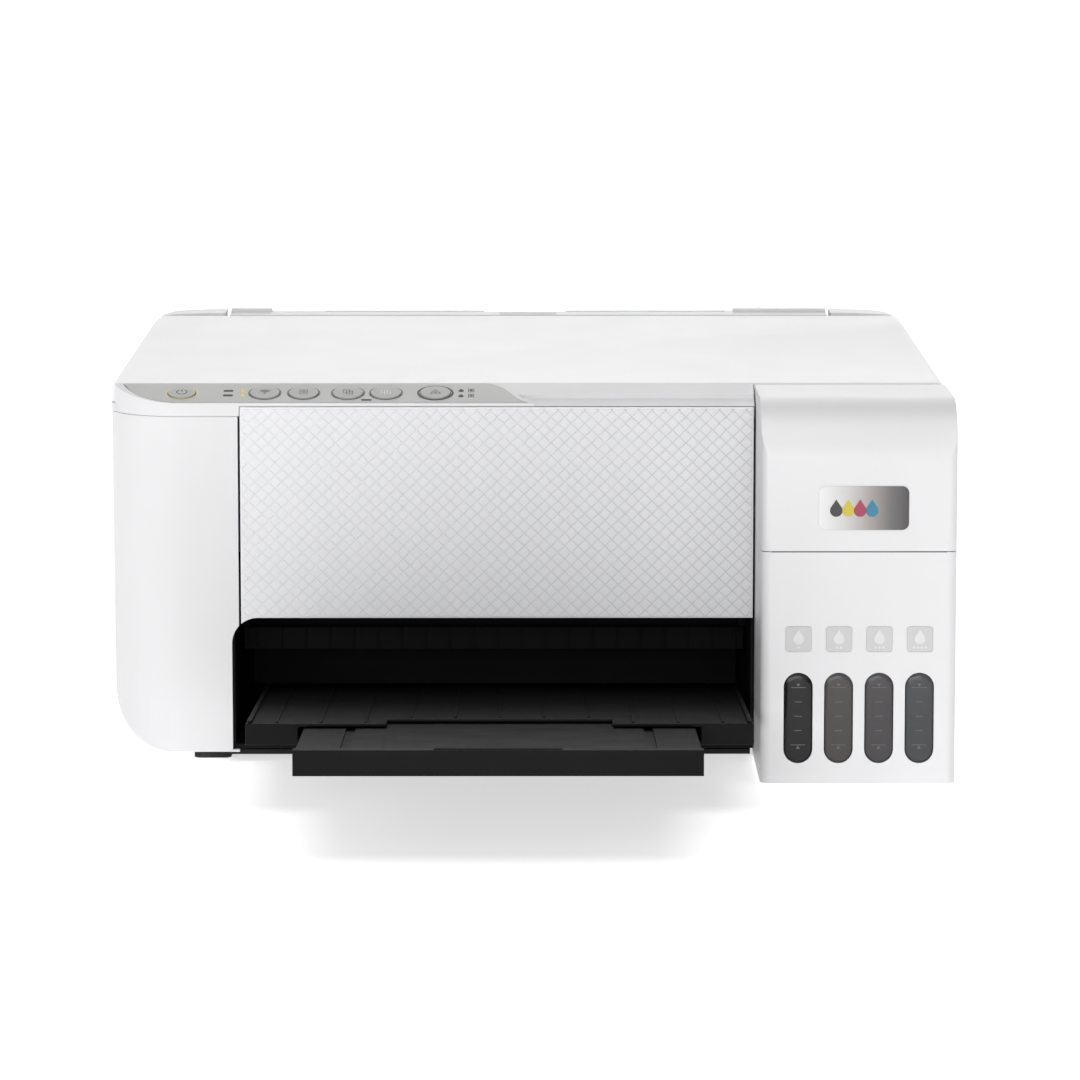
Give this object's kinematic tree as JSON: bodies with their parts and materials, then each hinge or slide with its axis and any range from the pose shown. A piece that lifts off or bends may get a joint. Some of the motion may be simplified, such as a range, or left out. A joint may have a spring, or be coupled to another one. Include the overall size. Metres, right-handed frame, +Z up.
{
  "type": "inkjet printer",
  "caption": "White A4 inkjet multifunction printer with flatbed scanner, front ink tank unit, sloping control strip and pull-out output tray.",
  "frame": {"origin": "on the ground, under the middle of the object in its rest pose with the output tray pulled out", "axes": "+Z up, front towards -Y, +X to the right seen from the front"},
  "size_m": [0.375, 0.5224, 0.1788],
  "materials": {
    "white_shell": "fine satin texture",
    "lid_white": "fine satin texture",
    "patterned_white": "embossed diamond texture",
    "black_plastic": "fine grain",
    "strip_grey": "satin metallic film",
    "button_grey": "satin",
    "steel": "rolled sheet",
    "rubber": "matte",
    "scanner_glass": "polished",
    "board_green": "solder mask",
    "felt": "pressed felt",
    "natural_plastic": "moulded acetal",
    "ink_black": "clear tank with black ink",
    "ink_yellow": "smoked clear tank with yellow ink",
    "ink_magenta": "smoked clear tank with magenta ink",
    "ink_cyan": "smoked clear tank with cyan ink"
  },
  "bodies": {
    "chassis": {"base_pan": "black_plastic", "left_housing": "white_shell", "right_housing": "white_shell", "rear_housing": "white_shell", "tank_housing": "white_shell", "foot_front_left": "rubber", "foot_front_right": "rubber", "foot_rear_left": "rubber", "foot_rear_right": "rubber", "ink_tank_black": "ink_black", "ink_tank_yellow": "ink_yellow", "ink_tank_magenta": "ink_magenta", "ink_tank_cyan": "ink_cyan", "paper_chute": "black_plastic", "engine_frame": "steel", "platen": "black_plastic", "feed_motor": "steel", "drive_belt": "rubber", "carriage_motor": "steel", "capping_station": "black_plastic", "waste_ink_pad": "felt", "power_inlet": "black_plastic", "usb_port": "black_plastic", "main_board": "board_green", "power_supply": "black_plastic"},
    "scanner_unit": {"scanner_housing": "white_shell", "control_housing": "white_shell", "control_strip": "strip_grey", "front_panel": "patterned_white", "scanner_glass": "scanner_glass"},
    "document_cover": {"document_cover": "lid_white", "document_pad": "felt"},
    "scan_bar": {"scan_bar": "black_plastic"},
    "tank_cover": {"tank_cover": "white_shell"},
    "button_power": {"button_power": "button_grey"},
    "button_network": {"button_network": "button_grey"},
    "button_info": {"button_info": "button_grey"},
    "button_copy_mono": {"button_copy_mono": "button_grey"},
    "button_copy_colour": {"button_copy_colour": "button_grey"},
    "button_stop": {"button_stop": "button_grey"},
    "tank_cap_black": {"tank_cap_black": "ink_black"},
    "tank_cap_yellow": {"tank_cap_yellow": "ink_yellow"},
    "tank_cap_magenta": {"tank_cap_magenta": "ink_magenta"},
    "tank_cap_cyan": {"tank_cap_cyan": "ink_cyan"},
    "output_tray": {"output_tray": "black_plastic"},
    "tray_extension": {"tray_extension": "black_plastic"},
    "paper_stopper": {"paper_stopper": "black_plastic"},
    "feed_roller": {"feed_roller": "steel"},
    "transfer_gear": {"transfer_gear": "natural_plastic"},
    "eject_roller": {"eject_roller": "rubber"},
    "motor_pinion": {"motor_pinion": "natural_plastic"},
    "pickup_roller": {"pickup_roller": "rubber"},
    "carriage": {"carriage": "black_plastic"},
    "drive_pulley": {"drive_pulley": "natural_plastic"},
    "idler_pulley": {"idler_pulley": "natural_plastic"},
    "paper_support": {"paper_support": "white_shell"},
    "support_extension": {"support_extension": "white_shell"},
    "feeder_guard": {"feeder_guard": "white_shell"},
    "edge_guide_left": {"edge_guide_left": "button_grey"},
    "edge_guide_right": {"edge_guide_right": "button_grey"}
  },
  "joints": [
    {"name": "scanner_unit_hinge", "type": "hinge", "parent": "chassis", "child": "scanner_unit", "pos_m": [0, 0.25, 0.168], "axis": [-1, 0, 0], "range_deg": [0, 30]},
    {"name": "document_cover_hinge", "type": "hinge", "parent": "scanner_unit", "child": "document_cover", "pos_m": [0, 0.225, 0.171], "axis": [-1, 0, 0], "range_deg": [0, 75]},
    {"name": "scan_bar_slide", "type": "slide", "parent": "scanner_unit", "child": "scan_bar", "axis": [1, 0, 0], "range_m": [0, 0.3]},
    {"name": "power_press", "type": "slide", "parent": "scanner_unit", "child": "button_power", "axis": [0, 0.2913, -0.9566], "range_m": [0, 0.0008], "stiffness_N_per_m": 1500},
    {"name": "network_press", "type": "slide", "parent": "scanner_unit", "child": "button_network", "axis": [0, 0.2913, -0.9566], "range_m": [0, 0.0008], "stiffness_N_per_m": 1500},
    {"name": "info_press", "type": "slide", "parent": "scanner_unit", "child": "button_info", "axis": [0, 0.2913, -0.9566], "range_m": [0, 0.0008], "stiffness_N_per_m": 1500},
    {"name": "copy_mono_press", "type": "slide", "parent": "scanner_unit", "child": "button_copy_mono", "axis": [0, 0.2913, -0.9566], "range_m": [0, 0.0008], "stiffness_N_per_m": 1500},
    {"name": "copy_colour_press", "type": "slide", "parent": "scanner_unit", "child": "button_copy_colour", "axis": [0, 0.2913, -0.9566], "range_m": [0, 0.0008], "stiffness_N_per_m": 1500},
    {"name": "stop_press", "type": "slide", "parent": "scanner_unit", "child": "button_stop", "axis": [0, 0.2913, -0.9566], "range_m": [0, 0.0008], "stiffness_N_per_m": 1500},
    {"name": "tank_cover_hinge", "type": "hinge", "parent": "chassis", "child": "tank_cover", "pos_m": [0.1445, -0.0105, 0.1635], "axis": [-1, 0, 0], "range_deg": [0, 80]},
    {"name": "black_cap_hinge", "type": "hinge", "parent": "chassis", "child": "tank_cap_black", "pos_m": [0.11805, -0.0525, 0.121], "axis": [-1, 0, 0], "range_deg": [0, 95]},
    {"name": "yellow_cap_hinge", "type": "hinge", "parent": "chassis", "child": "tank_cap_yellow", "pos_m": [0.1357, -0.0525, 0.121], "axis": [-1, 0, 0], "range_deg": [0, 95]},
    {"name": "magenta_cap_hinge", "type": "hinge", "parent": "chassis", "child": "tank_cap_magenta", "pos_m": [0.15335, -0.0525, 0.121], "axis": [-1, 0, 0], "range_deg": [0, 95]},
    {"name": "cyan_cap_hinge", "type": "hinge", "parent": "chassis", "child": "tank_cap_cyan", "pos_m": [0.171, -0.0525, 0.121], "axis": [-1, 0, 0], "range_deg": [0, 95]},
    {"name": "output_tray_slide", "type": "slide", "parent": "chassis", "child": "output_tray", "axis": [0, 0.9976, -0.0698], "range_m": [0, 0.125]},
    {"name": "tray_extension_slide", "type": "slide", "parent": "output_tray", "child": "tray_extension", "axis": [0, 0.9976, -0.0698], "range_m": [0, 0.088]},
    {"name": "paper_stopper_hinge", "type": "hinge", "parent": "tray_extension", "child": "paper_stopper", "pos_m": [-0.012, -0.25093, 0.0432], "axis": [1, 0, 0], "range_deg": [0, 90]},
    {"name": "feed_roller_spin", "type": "hinge", "parent": "chassis", "child": "feed_roller", "pos_m": [0, 0.122, 0.062], "axis": [1, 0, 0], "continuous": true},
    {"name": "transfer_gear_spin", "type": "hinge", "parent": "chassis", "child": "transfer_gear", "pos_m": [-0.148, 0.083, 0.06084], "axis": [1, 0, 0], "continuous": true},
    {"name": "eject_roller_spin", "type": "hinge", "parent": "chassis", "child": "eject_roller", "pos_m": [0, 0.0545, 0.06], "axis": [1, 0, 0], "continuous": true},
    {"name": "motor_pinion_spin", "type": "hinge", "parent": "chassis", "child": "motor_pinion", "pos_m": [-0.148, 0.0989, 0.04262], "axis": [1, 0, 0], "continuous": true},
    {"name": "pickup_roller_spin", "type": "hinge", "parent": "chassis", "child": "pickup_roller", "pos_m": [0, 0.224, 0.078], "axis": [1, 0, 0], "continuous": true},
    {"name": "carriage_slide", "type": "slide", "parent": "chassis", "child": "carriage", "axis": [-1, 0, 0], "range_m": [0, 0.245]},
    {"name": "drive_pulley_spin", "type": "hinge", "parent": "chassis", "child": "drive_pulley", "pos_m": [-0.128, 0.126, 0.1], "axis": [0, 1, 0], "continuous": true},
    {"name": "idler_pulley_spin", "type": "hinge", "parent": "chassis", "child": "idler_pulley", "pos_m": [0.172, 0.126, 0.1], "axis": [0, 1, 0], "continuous": true},
    {"name": "paper_support_hinge", "type": "hinge", "parent": "chassis", "child": "paper_support", "pos_m": [0.0015, 0.256, 0.072], "axis": [-1, 0, 0], "range_deg": [0, 18]},
    {"name": "support_extension_slide", "type": "slide", "parent": "paper_support", "child": "support_extension", "axis": [0, 0, 1], "range_m": [0, 0.078]},
    {"name": "feeder_guard_hinge", "type": "hinge", "parent": "chassis", "child": "feeder_guard", "pos_m": [0.0015, 0.2384, 0.1754], "axis": [-1, 0, 0], "range_deg": [-80, 0]},
    {"name": "edge_guide_left_slide", "type": "slide", "parent": "chassis", "child": "edge_guide_left", "axis": [1, 0, 0], "range_m": [0, 0.055]},
    {"name": "edge_guide_right_slide", "type": "slide", "parent": "chassis", "child": "edge_guide_right", "axis": [-1, 0, 0], "range_m": [0, 0.055]}
  ],
  "couplings": [
    {"joint": "transfer_gear_spin", "follows": "feed_roller_spin", "ratio": -1.6},
    {"joint": "eject_roller_spin", "follows": "feed_roller_spin", "ratio": 1.7778},
    {"joint": "motor_pinion_spin", "follows": "feed_roller_spin", "ratio": -4},
    {"joint": "drive_pulley_spin", "follows": "carriage_slide", "rad_per_m": 160},
    {"joint": "idler_pulley_spin", "follows": "carriage_slide", "rad_per_m": 160},
    {"joint": "edge_guide_right_slide", "follows": "edge_guide_left_slide", "ratio": 1}
  ]
}
